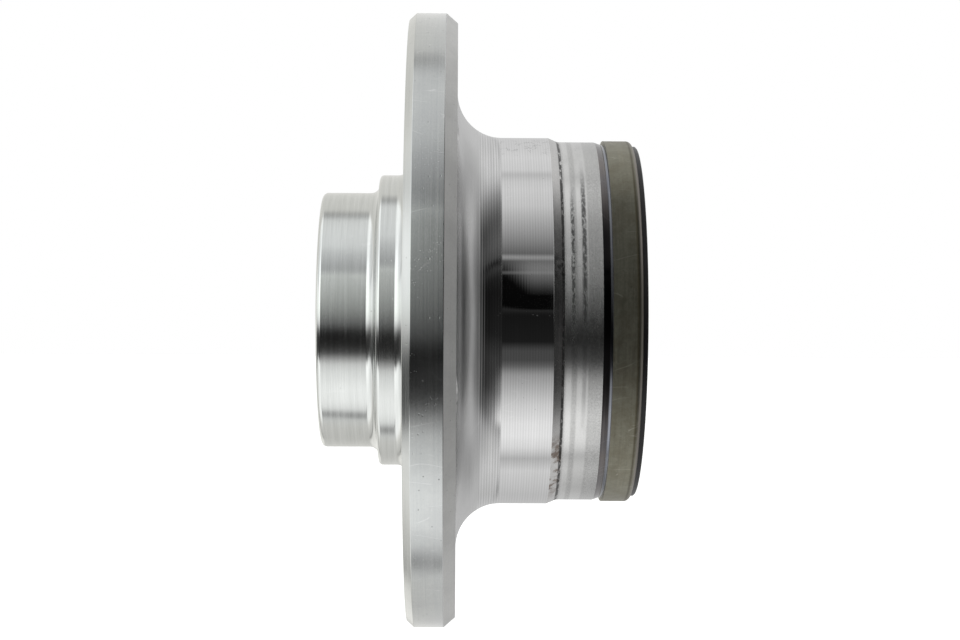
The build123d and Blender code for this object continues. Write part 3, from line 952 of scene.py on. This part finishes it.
# the other pieces are the solids as they are, each in its own finish
nodeFinishes = {
    "encoder_carrier": oliveSteel,
    "encoder_magnet": moulded["magnetRubber"],
    "outboard_seal_lip": moulded["sealRubber"],
    "inboard_seal_lip": moulded["sealRubber"],
    "cage_outboard": moulded["cagePolyamide"],
    "cage_inboard": moulded["cagePolyamide"],
}
for nodeName, node in nodes.items():
    node.data.materials.clear()
    node.data.materials.append(nodeFinishes.get(nodeName, finishes["brightSteel"]))


# studio

studio = {
    "cameraPlace": (-465.730 * mm, -10.7992 * mm, 0.11104 * mm),
    "cameraTurn": (90, -0.298, -90.625),
    "lens": 77.54,
    "floorHeight": -0.16,
    "floorGlow": 0.52,  # only as the camera sees it
}


def buildCamera():
    deselectAll()
    bpy.ops.object.camera_add()
    camera = bpy.context.object
    camera.data.lens = studio["lens"]
    camera.data.sensor_width = 36
    camera.data.clip_start = 0.01
    camera.location = studio["cameraPlace"]
    camera.rotation_euler = [math.radians(angle) for angle in studio["cameraTurn"]]
    bpy.context.scene.camera = camera


# Bright cloth all round, with a dark room behind the camera and towards the axle side. Angles are in degrees:
# "round" the axle, from the camera (0) up over the top, "aside" from the wheel side (minus) to the axle side,
# and "height". A band is start, end and softness, a peak is place and reach, and a fade is start, end and the
# levels at both where they aren't 0 and 1.
cloth = {
    "radius": 9.0,
    # fades aside, where one cloth gives way to the next
    "toEdge": (-1.65, -1.45),
    "toStripe": (-0.1, 0.7),
    "toBelt": (2.95, 3.35),
    "toRight": (4.9, 6.4),
    "toFar": (48, 58),
    "toEnd": (66, 82),
    "toLeft": (-5.5, -13.0),
    # seams slant by some degrees round for each degree aside
    "seams": (
        {"slant": 1.6, "peak": (-99.6, 8.5), "gain": 0.42},
        {"slant": 0.0, "peak": (108.4, 10), "gain": 0.58},
    ),
    "nearEdge": {"aside": (-2.4, -1.6, 0.1), "round": (25, 70, 8), "gain": 1.3},
    # the room's top edge slopes down, and slits of light stand above it
    "roomSlope": {"fade": (1.32, 3.2, 0, 31.8), "most": 14.5, "band": (10, 36, 6)},
    "slits": (
        {"peak": (38.9, 2.8), "levels": (2.6, 1.2, 0.2, 0.24), "start": (-0.8, 0.8, 0.6, 1.0)},
        {"peak": (29.2, 1.8), "levels": (2.3, 1.5, 0.05, 0.095), "start": (0.6, 0.9, 0.0, 1.0)},
    ),
    "litRight": {"band": (-66, -32, 6), "fade": (24, 8), "gain": 3.4},
    "rightNotch": {"peak": (36.3, 3.6), "gain": 0.15},
    "rightFade": (22, 46, 1.0, 0.66),
    "lowRight": {"band": (-72, -40, 8), "fade": (28, 40), "gain": 0.6},
    "cameraHalf": (-115, 115, 20),
    "farFade": (44, 78, 1.0, 0.48),  # not in the camera's half
    "endLevels": (0.24, 0.47),  # away from the camera, and in its half
    "leftStretch": (-23, -68, 0.61, 1.0),
    "leftFade": (-28, -60, 1.42, 1.0),
    "leftHaze": (-45, -65, 0.0, 0.055),
    "highLeft": {"band": (30, 85, 8), "fade": (-40, -26), "gain": 1.2},
    "behind": {"front": (-0.2, -0.4), "height": (-40, 30, 1.0, 0.8), "round": (-104, -132, 1.0, 0.7)},
    "lowLeftSeam": {"peak": (-135.5, 5.5), "gain": 0.58},
    "leftFold": {"peak": (25.5, 5), "fade": (-45, -58), "gain": 0.75},
    "floorStart": (-138, -142),
    "untinted": (-2.0, 0.5),
}

# how bright each cloth is by the angle round the axle, and by the height for "left"; last comes its tint
clothLevels = {
    "middle": (
        (-180, 0.75), (-150, 0.72), (-135, 0.70), (-118, 0.74), (-104, 0.80), (-98, 0.88), (-91, 0.99),
        (-86, 1.08), (-77, 1.22), (-64, 1.26), (-48, 1.08), (-40, 0.88), (-35, 0.46), (-30, 0.10),
        (-25, 0.04), (-19, 0.015), (-12, 0.018), (-8, 0.05), (-4, 0.14), (0, 0.21), (9, 0.37), (20, 0.54),
        (34, 0.69), (41, 0.66), (46, 0.49), (54, 0.62), (62, 0.75), (70, 0.95), (86, 0.97), (100, 0.92),
        (118, 0.82), (180, 0.80),
    ),
    "edge": (
        (-180, 0.88), (-129, 0.78), (-105, 0.90), (-91, 0.97), (-79, 1.30), (-58, 1.24), (-51, 0.88),
        (-43, 0.75), (-39, 0.52), (-36, 0.31), (-33, 0.155), (-30, 0.06), (-26, 0.02), (-19, 0.03),
        (-13, 0.01), (-10, 0.02), (-7, 0.08), (-2, 0.15), (4, 0.21), (12, 0.26), (24, 0.31), (41, 0.31),
        (47, 0.27), (57, 0.41), (67, 0.61), (81, 0.84), (90, 0.89), (100, 0.90), (118, 0.85), (180, 0.93),
    ),
    "stripe": (
        (-180, 0.55), (-138, 0.68), (-106, 0.89), (-94, 0.64), (-84, 1.02), (-75, 1.15), (-66, 1.12),
        (-53, 0.90), (-43, 0.65), (-33, 0.43), (-27.5, 0.16), (-24, 0.09), (-18, 0.086), (-13, 0.016),
        (3.6, 0.011), (7.3, 0.027), (9.4, 0.003), (29.5, 0.003), (33, 0.03), (36, 0.075), (40, 0.15),
        (44, 0.22), (52, 0.37), (63, 0.57), (75, 0.81), (88, 0.89), (95, 0.85), (102, 0.70), (107, 0.88),
        (122, 0.92), (134, 0.84), (180, 0.60),
    ),
    "belt": (
        (-180, 0.62), (-147, 0.59), (-131, 0.46), (-119, 0.53), (-109, 0.62), (-101, 0.62), (-94, 0.50),
        (-86, 0.84), (-79, 1.00), (-70, 1.04), (-61, 0.93), (-49, 0.77), (-39, 0.74), (-34, 0.42),
        (-28, 0.13), (-23, 0.055), (-18, 0.04), (-13, 0.02), (-3, 0.045), (2, 0.1), (7, 0.19), (12, 0.28),
        (22, 0.47), (32, 0.57), (42, 0.67), (53, 0.67), (65, 0.71), (77, 0.81), (88, 0.84), (98, 0.69),
        (141, 0.68), (180, 0.62),
    ),
    "right": (
        (-180, 0.62), (-139, 0.66), (-126, 0.74), (-108, 0.85), (-93, 0.79), (-87, 0.77), (-80, 0.70),
        (-74, 0.59), (-68, 0.45), (-62, 0.34), (-57, 0.26), (-51, 0.175), (-46, 0.115), (-35, 0.063),
        (-24, 0.06), (-9, 0.02), (18, 0.012), (27, 0.02), (36, 0.08), (49, 0.14), (61, 0.12), (66, 0.125),
        (72, 0.18), (78, 0.27), (85, 0.40), (91, 0.56), (98, 0.72), (106, 0.83), (123, 0.85), (134, 0.78),
        (150, 0.72), (180, 0.62),
    ),
    "far": (
        (-180, 0.62), (-141, 0.66), (-119, 0.76), (-107, 0.68), (-96, 0.57), (-91, 0.52), (-86, 0.43),
        (-80, 0.32), (-74, 0.25), (-69, 0.21), (-63, 0.20), (-50, 0.19), (-36, 0.14), (-5, 0.10), (26, 0.09),
        (48, 0.14), (54, 0.17), (61, 0.21), (67, 0.23), (78, 0.34), (84, 0.37), (89, 0.43), (95, 0.52),
        (100, 0.63), (106, 0.72), (117, 0.80), (130, 0.80), (147, 0.72), (180, 0.62),
    ),
    "left": (
        (-90, 0.95), (-40, 0.92), (-28, 1.05), (-24.5, 1.08), (-22.4, 0.72), (-20.8, 0.14), (-17, 0.03),
        (-9, 0.03), (-6, 0.15), (-4, 0.42), (-2, 0.70), (0, 0.90), (4, 1.1), (10, 1.2), (16, 1.18),
        (20, 1.08), (25, 0.98), (30, 0.90), (34, 0.80), (60, 0.80), (90, 0.78),
    ),
    "tints": (
        (-180, (1.0, 0.995, 0.955)), (-112, (1.0, 0.995, 0.96)), (-100, (0.99, 1.0, 0.99)),
        (-45, (0.985, 1.0, 0.99)), (-20, (1.0, 0.98, 0.97)), (-5, (0.99, 1.0, 1.0)), (5, (0.965, 1.0, 0.97)),
        (40, (0.965, 1.0, 0.975)), (44, (0.975, 1.0, 1.01)), (105, (0.985, 1.0, 0.995)),
        (114, (1.0, 0.995, 0.955)), (179, (1.0, 0.995, 0.955)),
    ),
}


def clothAngles(tree):
    # where a point of the cloth lies, as seen from the hub
    point = tree.nodes.new("ShaderNodeSeparateXYZ")
    tree.links.new(tree.nodes.new("ShaderNodeTexCoord").outputs["Object"], point.inputs[0])
    front = times(point.outputs["X"], -1 / cloth["radius"])
    right = times(point.outputs["Y"], -1 / cloth["radius"])
    up = times(point.outputs["Z"], 1 / cloth["radius"])
    return {
        "front": front,
        "round": calc("DEGREES", calc("ARCTAN2", up, front)),
        "aside": calc("DEGREES", calc("ARCSINE", right)),
        "height": calc("DEGREES", calc("ARCSINE", up)),
    }


def clothLevel(angle, name, reach=180):
    return levelRamp(angle, clothLevels[name], -reach, reach)


def handOver(aside, fade, level, following):
    return mixValues(between(aside, *fade), level, following)


def faded(level, angle, fade):
    return times(level, between(angle, *fade))


def patched(level, angle, aside, patch):
    # a band of one angle, faded in aside, is brighter or darker by the gain
    where = faded(band(angle, *patch["band"]), aside, patch["fade"])
    return gained(level, where, patch["gain"])


def seamed(level, angle, seam):
    return gained(level, peak(angle, *seam["peak"]), seam["gain"])


def middleLevel(angles):
    # the cloth that the hub's side faces, with its two seams
    aside = angles["aside"]
    level = clothLevel(angles["round"], "middle")
    level = handOver(aside, cloth["toEdge"], level, clothLevel(angles["round"], "edge"))
    for seam in cloth["seams"]:
        along = calc("ADD", angles["round"], times(aside, seam["slant"]))
        level = seamed(level, along, seam)
    edge = cloth["nearEdge"]
    where = times(band(aside, *edge["aside"]), band(angles["round"], *edge["round"]))
    return gained(level, where, edge["gain"])


def stripeLevel(angles, level):
    # the edge of the dark room, with the slits of light
    aside, slope = angles["aside"], cloth["roomSlope"]
    raised = calc("MINIMUM", between(aside, *slope["fade"], smooth=False), slope["most"])
    raised = times(raised, band(angles["round"], *slope["band"]))
    stripe = clothLevel(calc("ADD", angles["round"], raised), "stripe")
    level = handOver(aside, cloth["toStripe"], level, stripe)
    for slit in cloth["slits"]:
        light = faded(peak(angles["round"], *slit["peak"]), aside, slit["levels"])
        level = calc("ADD", level, faded(light, aside, slit["start"]))
    return level


def rightLevel(angles, level):
    # the axle side: the dark room first, and the tent's end beyond it
    aside, cameraHalf = angles["aside"], band(angles["round"], *cloth["cameraHalf"])
    right = clothLevel(angles["round"], "right")
    right = patched(right, angles["round"], aside, cloth["litRight"])
    right = seamed(right, angles["round"], cloth["rightNotch"])
    level = handOver(aside, cloth["toRight"], level, right)
    level = faded(level, aside, cloth["rightFade"])
    level = patched(level, angles["round"], aside, cloth["lowRight"])
    far = clothLevel(angles["round"], "far")
    far = times(far, mixValues(cameraHalf, between(aside, *cloth["farFade"]), 1.0))
    level = handOver(aside, cloth["toFar"], level, far)
    return handOver(aside, cloth["toEnd"], level, mixValues(cameraHalf, *cloth["endLevels"]))


def leftLevel(angles):
    # the wheel side, which the wheel side's faces and corners mirror
    aside, height, behind = angles["aside"], angles["height"], cloth["behind"]
    stretch = between(aside, *cloth["leftStretch"], smooth=False)
    left = clothLevel(times(height, stretch), "left", reach=90)
    left = faded(left, aside, cloth["leftFade"])
    left = calc("ADD", left, between(aside, *cloth["leftHaze"]))
    left = patched(left, height, aside, cloth["highLeft"])
    atBack = between(height, *behind["height"])
    left = mixValues(between(angles["front"], *behind["front"]), left, atBack)
    left = faded(left, angles["round"], behind["round"])
    left = seamed(left, angles["round"], cloth["lowLeftSeam"])
    fold = faded(peak(height, *cloth["leftFold"]["peak"]), aside, cloth["leftFold"]["fade"])
    left = gained(left, fold, cloth["leftFold"]["gain"])
    return mixValues(between(angles["round"], *cloth["floorStart"]), left, 1.0)


def tinted(angles, level):
    # the cloth is a little warmer or cooler from place to place
    untinted = between(angles["aside"], *cloth["untinted"])
    tint = mixColours(untinted, clothLevel(angles["round"], "tints"), grey(1.0))
    return mixColours(1.0, level, tint, "MULTIPLY")


def buildTent():
    deselectAll()
    bpy.ops.mesh.primitive_uv_sphere_add(segments=64, ring_count=32, radius=cloth["radius"])
    tent = bpy.context.object
    tent.name = "tent"
    tent.visible_camera = False
    material = bpy.data.materials.new("tentCloth")
    material.use_nodes = True
    tree = material.node_tree
    tree.nodes.clear()
    output = tree.nodes.new("ShaderNodeOutputMaterial")
    glow = tree.nodes.new("ShaderNodeEmission")
    tree.links.new(glow.outputs[0], output.inputs["Surface"])
    angles = clothAngles(tree)
    level = stripeLevel(angles, middleLevel(angles))
    level = handOver(angles["aside"], cloth["toBelt"], level, clothLevel(angles["round"], "belt"))
    level = rightLevel(angles, level)
    level = handOver(angles["aside"], cloth["toLeft"], level, leftLevel(angles))
    tree.links.new(tinted(angles, level), glow.inputs["Color"])
    tent.data.materials.append(material)


def buildFloor():
    deselectAll()
    bpy.ops.mesh.primitive_plane_add(size=2 * cloth["radius"] - 1, location=(0, 0, studio["floorHeight"]))
    floor = bpy.context.object
    floor.name = "floor"
    floor.visible_glossy = False
    material, tree, shader = startMaterial("floorPaper", metallic=0.0)
    shader.inputs["Base Color"].default_value = grey(0.9)
    shader.inputs["Roughness"].default_value = 0.9
    shader.inputs["Emission Color"].default_value = grey(1.0)
    seen = tree.nodes.new("ShaderNodeLightPath").outputs["Is Camera Ray"]
    wire(times(seen, studio["floorGlow"]), shader.inputs["Emission Strength"])
    floor.data.materials.append(material)


def buildWorld():
    world = bpy.data.worlds.new("whiteRoom")
    bpy.context.scene.world = world
    world.use_nodes = True
    background = world.node_tree.nodes["Background"]
    background.inputs["Color"].default_value = grey(1.0)
    background.inputs["Strength"].default_value = 1


print("scene: studio")
buildCamera()
buildTent()
buildFloor()
buildWorld()
bpy.context.scene.view_settings.view_transform = "Standard"

print("scene: done")
